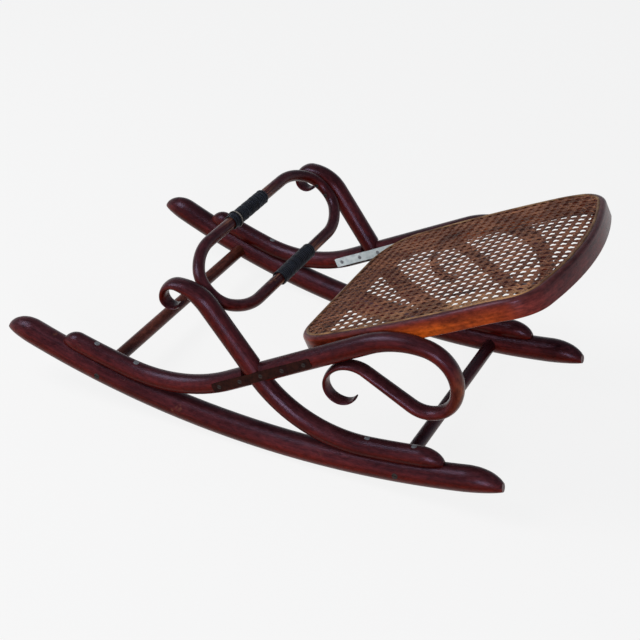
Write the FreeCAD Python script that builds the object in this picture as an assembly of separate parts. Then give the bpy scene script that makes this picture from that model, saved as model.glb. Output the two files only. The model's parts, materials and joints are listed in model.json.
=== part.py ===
import FreeCAD, Part
import math
import os

# Bentwood rocking footstool, in millimetres. +X runs along the rockers from the handle end to the
# raised end of the seat, +Y from the left side frame to the right one, +Z up from the floor.
# It is drawn standing on the middle of its rockers, and rolled to its point of balance at the end.

# Rockers: round bentwood arcs on the floor
ROCKER_RADIUS = 1280.0              # of the rocker's centre line
ROCKER_DIAMETER = 38.0
ROCKER_FRONT_REACH = 396.0          # from the rocker's middle to its front tip
ROCKER_REAR_REACH = 375.0
ROCKER_FRONT_NOSE = 38.0            # length over which each tip is rounded
ROCKER_REAR_NOSE = 52.0

# Side frames: two alike, standing closer together at the rear
SIDE_SPACING = 402.0                # between the side frames' middle planes at the rockers' middle
TOE_ANGLE = 3.45                    # each side frame's turn inwards, in degrees

# Feet of the two scrolls, bedded along the rocker
BED_DEPTH = 2.0                     # planed off the rocker's top under a foot
FOOT_PLANED = 5.0                   # planed off a foot's underside
SEAT_SCROLL_TIP = -304.0            # x of the seat scroll's tip
SEAT_SCROLL_FOOT = 106.0            # length along X from the tip to where the rod lifts off
SEAT_SCROLL_NOSE = 22.0
HANDLE_SCROLL_TIP = 290.0
HANDLE_SCROLL_FOOT = 108.0
HANDLE_SCROLL_NOSE = 36.0
NOSE_BLUNT = 0.35                   # of a rod's diameter, left flat at the end of its tip
NOSE_DROP = 0.8                     # how far a tip runs to the rod's underside, where 1 is all the way

# Each scroll lifts off the rocker in one bend and runs straight up. Turns are in degrees, to the
# left of the way the rod runs.
SEAT_SCROLL_ROD = 29.0
SEAT_LIFT_RADIUS = 228.0
SEAT_LIFT_TURN = 42.6
SEAT_RUN = 235.0
HANDLE_SCROLL_ROD = 30.0
HANDLE_LIFT_RADIUS = 198.0
HANDLE_LIFT_TURN = -56.0
HANDLE_RUN = 118.0

# Beyond its run each scroll thins down through a row of bends: radius, turn, then thickness in the
# plane of the bends and width across it where the bend ends
SEAT_SCROLL_LOOP = (
    (132.0, -36.4, 24.0, 27.5),
    (57.0, -91.0, 18.0, 26.0),
    (42.0, -110.5, 17.0, 25.0),
)
SEAT_SCROLL_RETURN = (14.0, 24.0)   # section where the straight run back to the curl ends
SEAT_SCROLL_CURL = (
    (40.0, 100.5, 7.0, 23.0),
    (26.0, 99.0, 5.5, 22.0),
    (23.0, 64.0, 3.5, 18.0),
)
CURL_GAP = 0.6                      # between the curl and the run above it
HANDLE_SCROLL_CURL = (
    (67.0, 12.0, 28.8, 29.8),
    (67.0, 15.0, 24.0, 29.2),
    (67.0, 20.0, 15.5, 28.2),
    (21.5, 101.0, 6.5, 27.0),
    (14.7, 133.0, 4.5, 21.0),
)
LAP_CLEARANCE = 0.2                 # round the half lap where the two scrolls cross

# Stretchers: dowels between the rockers
STRETCHER_DIAMETER = 20.0
TENON_DIAMETER = 13.0
TENON_DEPTH = 24.0                  # in the rocker
FRONT_STRETCHER_X = -240.0
REAR_STRETCHER_X = 231.0

# Handle loop: two bent halves scarfed together, lying against the handle scrolls
LOOP_ROD = 17.7
LOOP_WIDTH = 108.0                  # between the long sides' centre lines
LOOP_LEAN = 10.0                    # of the loop's plane to the handle scrolls' run, in degrees
LOOP_REACH = 14.8                   # from the end of that run to the middle of the loop, along it
LOOP_DROP = 4.5                     # from that run's line to the middle of the loop, square to it
LOOP_SIDE_BEND = 90.0               # radius of the bend out of each long side
LOOP_SIDE_TURN = 40.0               # turn of that bend, in degrees; a tighter one goes round the end
LOOP_END_FLAT = 3.0                 # length left straight in the middle of the end
LOOP_FLAT = 0.4                     # planed off the loop and off the scroll where they meet
SCARF_LENGTH = 60.0
LOOP_SCREW_SPACING = 21.0

# Cord whipping wound over each scarf
CORD_DIAMETER = 2.6
CORD_PITCH = 4.1
CORD_TURNS = 24
CORD_CLEARANCE = 0.1

# Seat: a bent rim on edge that rises to the rear, and a cane panel. Its outline is drawn along the
# slope from an origin near its front edge.
SEAT_SLOPE = 31.5                   # in degrees
SEAT_SET_BACK = 105.8               # from the end of the seat scroll's run to the origin, along it
SEAT_SET_UP = 19.5                  # from that run's line to the origin, square to it
SEAT_FRONT = 37.0                   # from the origin forward to the rim's foremost point
SEAT_REAR = 372.5                   # from the origin to its rearmost point
SEAT_WIDEST = 190.0                 # from the origin to where it bears on the seat scrolls
RIM_HOUSING = 6.9                   # how far it is let into the seat scrolls there
SEAT_FRONT_TAPER = 36.0             # how much narrower it is across its front corners
SEAT_REAR_TAPER = 23.0
SEAT_FRONT_BOW = 2.0                # how far the front and rear edges bow out
SEAT_REAR_BOW = 29.5
SEAT_FRONT_ROUND = 72.0             # radii of its corners
SEAT_REAR_ROUND = 52.0
FRONT_ROLL_RADIUS = 480.0           # of the fall of the seat's top towards its front
FRONT_ROLL_START = 35.0             # from the origin
REAR_ROLL_RADIUS = 480.0
REAR_ROLL_START = 270.0
RIM_HEIGHT = 28.0
RIM_WIDTH = 16.0
RIM_TOP_ROUND = 6.0                 # of the rim's outer edges
RIM_FOOT_ROUND = 2.0
CANE_THICKNESS = 2.0
CANE_LEDGE = 7.0                    # width of the rebate in the rim that the panel lies in
CANE_CLEARANCE = 0.2
CANE_OPENINGS = 12                  # in the panel, each way
CANE_OPEN_SHARE = 0.62              # of the way from one opening to the next
BINDER_WIDTH = 5.0
BINDER_THICKNESS = 1.4

# Mending plate along the seat scroll's run, over each crossing
PLATE_LENGTH = 172.0
PLATE_WIDTH = 14.0
PLATE_THICKNESS = 2.5
PLATE_PROUD = 0.8                   # how far it stands out of the rod
PLATE_SHIFT = 15.0                  # from the crossing to the plate's middle
LEFT_PLATE_CORNER = 4.0
RIGHT_PLATE_CORNER = 1.0
PLATE_SCREW_COUNT = 5
PLATE_SCREW_MARGIN = 12.0

# Countersunk wood screws: head diameter, shank diameter, length
FOOT_SCREW = (8.5, 4.5, 38.0)
SEAT_FOOT_SCREWS = (53.0, 118.0)    # from the seat scroll's tip
HANDLE_FOOT_SCREWS = (44.0, 112.0)
STRETCHER_SCREW = (9.5, 5.0, 34.0)
PLATE_SCREW = (6.5, 3.5, 11.0)
LOOP_SCREW = (7.0, 3.8, 30.0)
SEAT_SCREW = (7.5, 4.0, 27.0)
SEAT_SCREW_SET = (130.0, 160.0)     # from the seat's origin
SEAT_SCREW_DEPTH = 17.0             # below the rim's top
CURL_SCREW = (5.5, 3.0, 20.0)
SLOT_WIDTH = 0.9
SLOT_DEPTH = 0.9
HEAD_ANGLE = 45.0                   # of a head's cone to the screw's axis, in degrees

# Densities in kilograms per cubic metre, for the point of balance
WOOD_DENSITY = 600.0
STEEL_DENSITY = 7850.0
IRON_DENSITY = 7200.0
CANE_DENSITY = 300.0
CORD_DENSITY = 300.0

UP = FreeCAD.Vector(0, 0, 1)
ACROSS = FreeCAD.Vector(0, 1, 0)
LEFT = -1
RIGHT = 1
ROCKER_HALF = ROCKER_DIAMETER / 2
CENTRE_HEIGHT = ROCKER_RADIUS + ROCKER_HALF
BED_RADIUS = ROCKER_RADIUS - ROCKER_HALF + BED_DEPTH
TOOL_REACH = 2 * ROCKER_DIAMETER    # how far cutting solids stand clear of what they cut
SECTION_STEP = 15.0                 # longest way between a tapering rod's sections
SECTION_TURN = 15.0                 # largest turn between them, in degrees
NOSE_SECTIONS = 5
ALONG_AXIS = 0.9                    # least cosine to an axis that counts as along it


def vec(x, z, y=0.0):
    return FreeCAD.Vector(x, y, z)


def heading_vector(heading):
    angle = math.radians(heading)
    return vec(math.cos(angle), math.sin(angle))


class Station:
    """A place on a rod's centre line: its point, its heading in degrees, and its section there."""

    def __init__(self, point, heading, thickness, width):
        self.point = point
        self.heading = heading
        self.thickness = thickness
        self.width = width

    def along(self):
        return heading_vector(self.heading)

    def normal(self):
        return heading_vector(self.heading + 90)

    def onward(self, radius, amount):
        """Point and heading further on, after a bend of some turn or a run of some length."""
        if radius == 0:
            return self.point + self.along() * amount, self.heading
        side = math.copysign(radius, amount)
        centre = self.point + self.normal() * side
        heading = self.heading + amount
        return centre - heading_vector(heading + 90) * side, heading


def arc_station(x, radius, rod, forward):
    """A station on an arc about the rockers' centre, heading to the front or to the rear."""
    tilt = math.degrees(math.asin(x / radius))
    height = CENTRE_HEIGHT - radius * math.cos(math.radians(tilt))
    heading = tilt + 180 if forward else tilt
    return Station(vec(x, height), heading, rod, rod)


def trace(start, bends):
    """Stations along each of a row of bends, which end each in a section of its own."""
    rows = []
    for radius, amount, thickness, width in bends:
        first = rows[-1][-1] if rows else start
        stations = [first]
        length = abs(radius * math.radians(amount)) if radius else amount
        turn = abs(amount) if radius else 0
        steps = max(2, math.ceil(length / SECTION_STEP), math.ceil(turn / SECTION_TURN))
        for step in range(1, steps + 1):
            share = step / steps
            point, heading = first.onward(radius, amount * share)
            section_height = first.thickness + (thickness - first.thickness) * share
            section_width = first.width + (width - first.width) * share
            stations.append(Station(point, heading, section_height, section_width))
        rows.append(stations)
    return rows


def oval(station):
    """The section at a station, as an ellipse with its long axis across the bends."""
    ellipse = Part.Ellipse()
    ellipse.MajorRadius = station.width / 2
    ellipse.MinorRadius = station.thickness / 2
    ellipse.Center = station.point
    ellipse.Axis = station.along()
    ellipse.XAxis = ACROSS
    return Part.Wire([ellipse.toShape()])


def tapering_rod(stations):
    return Part.makeLoft([oval(station) for station in stations], True, False)


def bent_rod(rows):
    """A rod of several bends, each drawn through its own row of stations."""
    bends = [tapering_rod(stations) for stations in rows]
    return bends[0].fuse(bends[1:])


def bend_edge(first, radius, amount):
    last = first.onward(radius, amount)[0]
    if radius == 0:
        return Part.LineSegment(first.point, last).toShape()
    middle = first.onward(radius, amount / 2)[0]
    return Part.Arc(first.point, middle, last).toShape()


def nose(tip, full, upper):
    """A rounded tip, from its blunt end to the station where the rod has its full section."""
    span = full.point - tip.point
    stations = []
    for step in range(NOSE_SECTIONS):
        share = 1 - step / (NOSE_SECTIONS - 1)
        scale = math.sqrt(1 - (1 - NOSE_BLUNT ** 2) * share ** 2)
        sag = upper * (full.thickness / 2 * (1 - scale) * NOSE_DROP)
        heading = full.heading + (tip.heading - full.heading) * share
        stations.append(Station(
            full.point - span * share - sag, heading, full.thickness * scale, full.width * scale
        ))
    return tapering_rod(stations[::-1])


def prism(points, direction):
    """A flat outline of points, drawn out along a direction."""
    wire = Part.makePolygon(points + points[:1])
    return Part.Face(wire).extrude(direction)


def box_at(origin, x_axis, y_axis, x_range, y_range, z_range):
    """A box whose ranges are measured along two given axes and the third square to them."""
    size = [high - low for low, high in (x_range, y_range, z_range)]
    corner = FreeCAD.Vector(x_range[0], y_range[0], z_range[0])
    box = Part.makeBox(size[0], size[1], size[2], corner)
    turn = FreeCAD.Rotation(x_axis, y_axis, x_axis.cross(y_axis), "XYZ")
    box.Placement = FreeCAD.Placement(origin, turn)
    return box


def ring_sector(inner, outer, start_x, end_x):
    """Part of a ring about the rockers' centre, between two places along the rocker."""
    start = math.asin(start_x / ROCKER_RADIUS)
    end = math.asin(end_x / ROCKER_RADIUS)
    middle = (start + end) / 2

    def at(radius, angle):
        height = CENTRE_HEIGHT - radius * math.cos(angle)
        return vec(radius * math.sin(angle), height, -TOOL_REACH)

    edges = [
        Part.Arc(at(outer, start), at(outer, middle), at(outer, end)).toShape(),
        Part.LineSegment(at(outer, end), at(inner, end)).toShape(),
        Part.Arc(at(inner, end), at(inner, middle), at(inner, start)).toShape(),
        Part.LineSegment(at(inner, start), at(outer, start)).toShape(),
    ]
    return Part.Face(Part.Wire(edges)).extrude(ACROSS * (2 * TOOL_REACH))


def screw_body(size, headroom):
    """A countersunk screw along -Z with the top of its head at the origin, or the bore for it."""
    head, shank, length = size
    cone = (head - shank) / 2 / math.tan(math.radians(HEAD_ANGLE))
    outline = [(0, headroom), (head / 2, headroom)]
    if headroom:
        outline.append((head / 2, 0))
    outline += [(shank / 2, -cone), (shank / 2, shank - length), (0, -length)]
    points = [vec(x, z) for x, z in outline]
    wire = Part.makePolygon(points + points[:1])
    return Part.Face(wire).revolve(FreeCAD.Vector(), UP, 360)


class Screw:
    """A slotted screw, and the bore that takes it, with the top of its head at a point."""

    def __init__(self, size, head_at, into):
        place = FreeCAD.Placement(head_at, FreeCAD.Rotation(UP * -1, into))
        head = size[0]
        corner = FreeCAD.Vector(-head, -SLOT_WIDTH / 2, -SLOT_DEPTH)
        slot = Part.makeBox(2 * head, SLOT_WIDTH, 2 * SLOT_DEPTH, corner)
        self.body = screw_body(size, 0).cut(slot)
        self.bore = screw_body(size, 2 * head)
        self.body.Placement = place
        self.bore.Placement = place

    def placed(self, side):
        moved = Screw.__new__(Screw)
        moved.body = placed(self.body, side)
        moved.bore = placed(self.bore, side)
        return moved


def bores(screws):
    return [screw.bore for screw in screws]


def bodies(screws):
    return Part.makeCompound([screw.body for screw in screws])


def side_place(side):
    turn = FreeCAD.Rotation(UP, -side * TOE_ANGLE)
    return FreeCAD.Placement(ACROSS * (side * SIDE_SPACING / 2), turn)


def placed(shape, side):
    """A shape drawn in the plane of Y = 0, moved into a side frame."""
    moved = shape.copy()
    moved.Placement = side_place(side).multiply(moved.Placement)
    return moved


def whole(shape):
    """The one solid of a finished piece, without crumbs that a cut leaves."""
    return max(shape.Solids, key=lambda solid: solid.Volume)


def knee_arc(first, knee, last):
    """The arc that leaves one point towards a knee, and comes from the knee to the other point."""
    chord_middle = (first + last) * 0.5
    rise = knee - chord_middle
    half_chord = (last - first).Length / 2
    half_turn = math.atan2(rise.Length, half_chord)
    crown = chord_middle + rise.normalize() * (half_chord * math.tan(half_turn / 2))
    return Part.Arc(first, crown, last).toShape()


def round_tube(path, diameter, start, direction):
    profile = Part.Wire([Part.makeCircle(diameter / 2, start, direction)])
    return path.makePipeShell([profile], True, False)


# Rods of the side frame, drawn in the plane of Y = 0

def rocker_station(x, forward):
    return arc_station(x, ROCKER_RADIUS, ROCKER_DIAMETER, forward)


rocker_front = rocker_station(ROCKER_FRONT_NOSE - ROCKER_FRONT_REACH, False)
rocker_rear = rocker_station(ROCKER_REAR_REACH - ROCKER_REAR_NOSE, True)
rocker_arc = Part.Arc(rocker_front.point, vec(0, ROCKER_HALF), rocker_rear.point)
rocker_path = Part.Wire([rocker_arc.toShape()])
rocker_rod = round_tube(rocker_path, ROCKER_DIAMETER, rocker_front.point, rocker_front.along())
rocker_noses = [
    nose(rocker_station(-ROCKER_FRONT_REACH, False), rocker_front, rocker_front.normal()),
    nose(rocker_station(ROCKER_REAR_REACH, True), rocker_rear, rocker_rear.normal() * -1),
]


class Rise:
    """A scroll from its tip to the end of its straight run: a foot, a lifting bend and the run."""

    def __init__(self, tip_x, foot, nose_length, rod, lift_radius, lift_turn, run, forward):
        way = -1 if forward else 1
        radius = BED_RADIUS + FOOT_PLANED - rod / 2
        tip = arc_station(tip_x, radius, rod, forward)
        full = arc_station(tip_x + way * nose_length, radius, rod, forward)
        middle = arc_station(tip_x + way * (nose_length + foot) / 2, radius, rod, forward)
        lift = arc_station(tip_x + way * foot, radius, rod, forward)
        self.start = Station(*lift.onward(lift_radius, lift_turn), rod, rod)
        self.end = Station(*self.start.onward(0, run), rod, rod)
        self.along = self.start.along()
        self.normal = self.start.normal()
        edges = [
            Part.Arc(full.point, middle.point, lift.point).toShape(),
            bend_edge(lift, lift_radius, lift_turn),
            bend_edge(self.start, 0, run),
        ]
        tube = round_tube(Part.Wire(edges), rod, full.point, full.along())
        tip_solid = nose(tip, full, full.normal() * way)
        beyond = tip_x - way * TOOL_REACH
        past_lift = lift.point.x + way * 2 * ROCKER_DIAMETER
        planed = ring_sector(BED_RADIUS, BED_RADIUS + TOOL_REACH, beyond, past_lift)
        self.solid = tube.fuse(tip_solid).cut(planed)
        bed_end = lift.point.x + way * ROCKER_DIAMETER
        self.bed = ring_sector(BED_RADIUS - TOOL_REACH, BED_RADIUS, tip_x, bed_end)


seat_rise = Rise(
    SEAT_SCROLL_TIP, SEAT_SCROLL_FOOT, SEAT_SCROLL_NOSE, SEAT_SCROLL_ROD,
    SEAT_LIFT_RADIUS, SEAT_LIFT_TURN, SEAT_RUN, False,
)
handle_rise = Rise(
    HANDLE_SCROLL_TIP, HANDLE_SCROLL_FOOT, HANDLE_SCROLL_NOSE, HANDLE_SCROLL_ROD,
    HANDLE_LIFT_RADIUS, HANDLE_LIFT_TURN, HANDLE_RUN, True,
)
handle_curl = bent_rod(trace(handle_rise.end, HANDLE_SCROLL_CURL))

# The run back to the seat scroll's curl is as long as brings the curl's nearest point up to the
# underside of the run.
loop_rows = trace(seat_rise.end, SEAT_SCROLL_LOOP)
return_start = loop_rows[-1][-1]
curl_radius, curl_turn, curl_end_thickness = SEAT_SCROLL_CURL[0][:3]
near_turn = (seat_rise.start.heading + 180 - return_start.heading) % 360
near_point = return_start.onward(curl_radius, near_turn)[0]
return_thickness = SEAT_SCROLL_RETURN[0]
curl_thickness = return_thickness + (curl_end_thickness - return_thickness) * near_turn / curl_turn
near_gap = (seat_rise.start.point - near_point).dot(seat_rise.normal)
closing_rate = return_start.along().dot(seat_rise.normal)
return_length = (near_gap - (curl_thickness + SEAT_SCROLL_ROD) / 2 - CURL_GAP) / closing_rate
return_rows = trace(return_start, ((0.0, return_length) + SEAT_SCROLL_RETURN,))
curl_start = return_rows[-1][-1]
seat_loop = bent_rod(loop_rows + return_rows + trace(curl_start, SEAT_SCROLL_CURL))

# Crossing of the two runs, where each rod gives up half its depth to the other
to_handle = handle_rise.start.point - seat_rise.start.point
crossing_along = to_handle.dot(handle_rise.normal) / seat_rise.along.dot(handle_rise.normal)
crossing = seat_rise.start.point + seat_rise.along * crossing_along
lap_half = (SEAT_SCROLL_ROD + HANDLE_SCROLL_ROD) / 2
seat_notch = box_at(
    crossing, handle_rise.along, ACROSS,
    (-lap_half, lap_half), (-TOOL_REACH, LAP_CLEARANCE / 2),
    (-HANDLE_SCROLL_ROD / 2 - LAP_CLEARANCE, HANDLE_SCROLL_ROD / 2 + LAP_CLEARANCE),
)
handle_notch = box_at(
    crossing, seat_rise.along, ACROSS,
    (-lap_half, lap_half), (-LAP_CLEARANCE / 2, TOOL_REACH),
    (-SEAT_SCROLL_ROD / 2 - LAP_CLEARANCE, SEAT_SCROLL_ROD / 2 + LAP_CLEARANCE),
)

# Plate on the left-hand face of each seat scroll, let into both rods at the crossing
plate_middle = crossing + seat_rise.along * PLATE_SHIFT
plate_back = PLATE_THICKNESS - PLATE_PROUD - SEAT_SCROLL_ROD / 2
plate_front = plate_back - PLATE_THICKNESS
plate_frame = (plate_middle, seat_rise.along, seat_rise.normal)
plate_span = (-PLATE_LENGTH / 2, PLATE_LENGTH / 2)
plate_breadth = (-PLATE_WIDTH / 2, PLATE_WIDTH / 2)


def make_plate(corner):
    plate = box_at(*plate_frame, plate_span, plate_breadth, (-plate_back, -plate_front))
    upright = [
        edge for edge in plate.Edges
        if abs(edge.tangentAt(edge.FirstParameter).y) > ALONG_AXIS
    ]
    return plate.makeFillet(corner, upright)


plate_housing = box_at(*plate_frame, plate_span, plate_breadth, (-plate_back, TOOL_REACH))
plate_screws = []
for number in range(PLATE_SCREW_COUNT):
    share = number / (PLATE_SCREW_COUNT - 1)
    place = PLATE_SCREW_MARGIN - PLATE_LENGTH / 2 + (PLATE_LENGTH - 2 * PLATE_SCREW_MARGIN) * share
    spot = plate_middle + seat_rise.along * place + ACROSS * plate_front
    plate_screws.append(Screw(PLATE_SCREW, spot, ACROSS))

# Screws down through each foot, and up through the curl
foot_screws = []
for tip_x, rod, sign, places in (
    (SEAT_SCROLL_TIP, SEAT_SCROLL_ROD, 1, SEAT_FOOT_SCREWS),
    (HANDLE_SCROLL_TIP, HANDLE_SCROLL_ROD, -1, HANDLE_FOOT_SCREWS),
):
    top_radius = BED_RADIUS + FOOT_PLANED - rod
    for distance in places:
        spot = arc_station(tip_x + sign * distance, top_radius, rod, False)
        foot_screws.append(Screw(FOOT_SCREW, spot.point, spot.normal() * -1))

curl_point, curl_heading = curl_start.onward(curl_radius, near_turn)
curl_inward = heading_vector(curl_heading + 90)
curl_screw = Screw(CURL_SCREW, curl_point + curl_inward * (curl_thickness / 2), curl_inward * -1)

# Stretchers, square across between the rockers
stretchers = {}
stretcher_screws = []
tenons = []
for name, x in (("front_stretcher", FRONT_STRETCHER_X), ("rear_stretcher", REAR_STRETCHER_X)):
    middle = arc_station(x, ROCKER_RADIUS, ROCKER_DIAMETER, False).point
    ends = [side_place(side).multVec(middle) for side in (LEFT, RIGHT)]
    span = (ends[1] - ends[0]).Length
    tenon_start = ends[0] + ACROSS * (ROCKER_HALF - TENON_DEPTH)
    tenon_length = span - 2 * (ROCKER_HALF - TENON_DEPTH)
    dowel = Part.makeCylinder(STRETCHER_DIAMETER / 2, span, ends[0], ACROSS)
    dowel = whole(dowel.cut([placed(rocker_rod, LEFT), placed(rocker_rod, RIGHT)]))
    tenon = Part.makeCylinder(TENON_DIAMETER / 2, tenon_length, tenon_start, ACROSS)
    for side, end in zip((LEFT, RIGHT), ends):
        head_at = end + ACROSS * (side * ROCKER_HALF)
        stretcher_screws.append(Screw(STRETCHER_SCREW, head_at, ACROSS * -side))
    tenons.append(tenon)
    stretchers[name] = dowel.fuse(tenon).removeSplitter()

# Handle loop, in a plane that slopes with the handle scrolls' run
loop_along = heading_vector(handle_rise.end.heading + LOOP_LEAN) * -1
loop_middle = handle_rise.end.point + handle_rise.along * LOOP_REACH + handle_rise.normal * LOOP_DROP
loop_top = loop_middle - loop_along * (LOOP_WIDTH / 2)
loop_low = loop_middle + loop_along * (LOOP_WIDTH / 2)
loop_normal = loop_along.cross(ACROSS)
contact = HANDLE_SCROLL_ROD / 2 - LOOP_FLAT
loop_inset = contact + LOOP_ROD / 2 - LOOP_FLAT
loop_overlap = SCARF_LENGTH / 2 + LOOP_ROD


def loop_corner(point, side):
    """Where a long side of the loop meets the line of its end, beside the handle scroll."""
    toe = math.radians(TOE_ANGLE)
    plane = SIDE_SPACING / 2 - point.x * math.tan(toe)
    return point + ACROSS * (side * (plane - loop_inset / math.cos(toe)))


class LoopCorner:
    """Two tangent bends round a corner of the loop, from a long side into the end."""

    def __init__(self, before, corner, after):
        self.corner = corner
        self.inward = (corner - before).normalize()
        self.outward = (after - corner).normalize()
        turn = self.inward.getAngle(self.outward)
        self.end_turn = turn - side_turn
        self.side_share = math.sin(side_turn) / math.sin(turn)
        self.end_share = math.sin(self.end_turn) / math.sin(turn)
        self.reach_rate = math.tan(self.end_turn / 2)

    def edges(self, end_radius):
        """Arcs, with their start on the long side and their finish on the end."""
        end_reach = end_radius * self.reach_rate
        knees = side_reach + end_reach
        side_knee = self.corner - self.inward * (knees * self.end_share)
        end_knee = self.corner + self.outward * (knees * self.side_share)
        start = side_knee - self.inward * side_reach
        finish = end_knee + self.outward * end_reach
        joint = side_knee + (end_knee - side_knee).normalize() * side_reach
        return [knee_arc(start, side_knee, joint), knee_arc(joint, end_knee, finish)], start, finish


side_turn = math.radians(LOOP_SIDE_TURN)
side_reach = LOOP_SIDE_BEND * math.tan(side_turn / 2)


def loop_half(side):
    far = ACROSS * (-side * loop_overlap)
    begin, top, low, stop = (
        loop_top + far, loop_corner(loop_top, side), loop_corner(loop_low, side), loop_low + far
    )
    bends = [LoopCorner(begin, top, low), LoopCorner(stop, low, top)]
    taken = sum(side_reach * bend.side_share for bend in bends) + LOOP_END_FLAT
    rate = sum(bend.reach_rate * (1 + bend.side_share) for bend in bends)
    end_radius = ((low - top).Length - taken) / rate
    top_arcs, top_start, top_finish = bends[0].edges(end_radius)
    low_arcs, low_start, low_finish = bends[1].edges(end_radius)
    edges = [Part.LineSegment(begin, top_start).toShape()] + top_arcs
    edges.append(Part.LineSegment(top_finish, low_finish).toShape())
    edges += low_arcs[::-1] + [Part.LineSegment(low_start, stop).toShape()]
    path = Part.Wire(Part.__sortEdges__(edges))
    return round_tube(path, LOOP_ROD, begin, ACROSS * side), end_radius


def scarf_mask():
    """The left half's share of the loop, parted by a slant across each long side."""
    half = SCARF_LENGTH / 2
    rod = LOOP_ROD / 2
    clear = TOOL_REACH
    outline = [
        (-clear, -SIDE_SPACING), (-clear, half), (-rod, half), (rod, -half),
        (LOOP_WIDTH - rod, -half), (LOOP_WIDTH + rod, half),
        (LOOP_WIDTH + clear, half), (LOOP_WIDTH + clear, -SIDE_SPACING),
    ]
    base = loop_top - loop_normal * TOOL_REACH
    points = [base + loop_along * down + ACROSS * over for down, over in outline]
    return prism(points, loop_normal * (2 * TOOL_REACH))


loop_range = (-LOOP_WIDTH, LOOP_WIDTH)
mask = scarf_mask()
loop_halves = {}
loop_flats = {}
loop_screws = {}
for side in (LEFT, RIGHT):
    inner = ACROSS * -side
    rod, end_radius = loop_half(side)
    flat_half = LOOP_END_FLAT / 2 + math.sqrt(4 * (end_radius + LOOP_ROD / 2) * LOOP_FLAT)
    beyond = box_at(loop_middle, loop_along, inner, loop_range, (-TOOL_REACH, contact), loop_range)
    flat = box_at(
        loop_middle, loop_along, inner, (-flat_half, flat_half), (contact, TOOL_REACH),
        (-HANDLE_SCROLL_ROD, HANDLE_SCROLL_ROD),
    )
    loop_flats[side] = flat
    rod = rod.cut(placed(beyond, side))
    loop_halves[side] = rod.common(mask) if side == LEFT else rod.cut(mask)
    loop_screws[side] = []
    for step in (-0.5, 0.5):
        spot = loop_middle + loop_along * (step * LOOP_SCREW_SPACING)
        head_at = spot + inner * (loop_inset + LOOP_ROD / 2)
        loop_screws[side].append(Screw(LOOP_SCREW, head_at, inner * -1).placed(side))


# Whippings: one cord wound round each long side of the loop, over its scarf

def biarc(start, start_way, end, end_way):
    """Two tangent arcs between two points with given directions."""
    gap = end - start
    ways = start_way + end_way
    bend = 2 * (1 - start_way.dot(end_way))
    reach = (math.sqrt(gap.dot(ways) ** 2 + bend * gap.dot(gap)) - gap.dot(ways)) / bend
    joint = (start + end + (start_way - end_way) * reach) * 0.5
    arcs = []
    for first, knee, last in (
        (start, start + start_way * reach, joint),
        (joint, end - end_way * reach, end),
    ):
        arcs.append(knee_arc(first, knee, last))
    return arcs


def whipping(axis_point):
    radius = LOOP_ROD / 2 + CORD_CLEARANCE + CORD_DIAMETER / 2
    length = CORD_PITCH * CORD_TURNS
    climb = CORD_PITCH / (2 * math.pi)

    def at(turn):
        angle = 2 * math.pi * turn
        over = CORD_PITCH * turn - length / 2
        return axis_point + vec(radius * math.cos(angle), radius * math.sin(angle), over)

    def way(turn):
        angle = 2 * math.pi * turn
        return vec(-radius * math.sin(angle), radius * math.cos(angle), climb).normalize()

    quarters = [step / 4 for step in range(4 * CORD_TURNS + 1)]
    lead_in = at(0) - way(0) * CORD_DIAMETER
    lead_out = at(CORD_TURNS) + way(CORD_TURNS) * CORD_DIAMETER
    edges = [Part.LineSegment(lead_in, at(0)).toShape()]
    for begin, end in zip(quarters, quarters[1:]):
        edges += biarc(at(begin), way(begin), at(end), way(end))
    edges.append(Part.LineSegment(at(CORD_TURNS), lead_out).toShape())
    tube = round_tube(Part.Wire(edges), CORD_DIAMETER, lead_in, way(0))
    points = [edge.valueAt(edge.FirstParameter) for edge in edges] + [lead_out]
    near = 4                            # points of the same turn, not counted
    least = min(
        (first - second).Length
        for index, first in enumerate(points)
        for second in points[index + near:]
    )
    print("whipping least gap to itself", round(least - CORD_DIAMETER, 2))
    return tube


# Seat rim, panel and binder, drawn along the slope
seat_along = heading_vector(SEAT_SLOPE)
seat_normal = heading_vector(SEAT_SLOPE + 90)
seat_origin = seat_rise.end.point - seat_rise.along * SEAT_SET_BACK + seat_rise.normal * SEAT_SET_UP
seat_turn = FreeCAD.Rotation(seat_along, ACROSS, seat_normal, "XYZ")
seat_place = FreeCAD.Placement(seat_origin, seat_turn)
bearing_x = (seat_origin + seat_along * SEAT_WIDEST).x
bearing_plane = SIDE_SPACING / 2 - bearing_x * math.tan(math.radians(TOE_ANGLE))
seat_half = bearing_plane - SEAT_SCROLL_ROD / 2 + RIM_HOUSING
front_half = seat_half - SEAT_FRONT_TAPER / 2
rear_half = seat_half - SEAT_REAR_TAPER / 2
front_corner = SEAT_FRONT_BOW - SEAT_FRONT
rear_corner = SEAT_REAR - SEAT_REAR_BOW
seat_depth = 2 * RIM_HEIGHT             # of the plan's prisms above and below the seat's top


def plan_point(along, over):
    return FreeCAD.Vector(along, over, -seat_depth)


# Outline of the rim from above, along the slope: four bowed edges and a round at each corner
plan_corners = [
    plan_point(front_corner, -front_half), plan_point(rear_corner, -rear_half),
    plan_point(rear_corner, rear_half), plan_point(front_corner, front_half),
]
plan_bows = [
    plan_point(SEAT_WIDEST, -seat_half), plan_point(SEAT_REAR, 0),
    plan_point(SEAT_WIDEST, seat_half), plan_point(-SEAT_FRONT, 0),
]
plan_rounds = [SEAT_FRONT_ROUND, SEAT_REAR_ROUND, SEAT_REAR_ROUND, SEAT_FRONT_ROUND]
plan_arcs = [
    Part.Arc(corner, bow, following).toShape().Curve
    for corner, bow, following in zip(plan_corners, plan_bows, plan_corners[1:] + plan_corners[:1])
]


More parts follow.
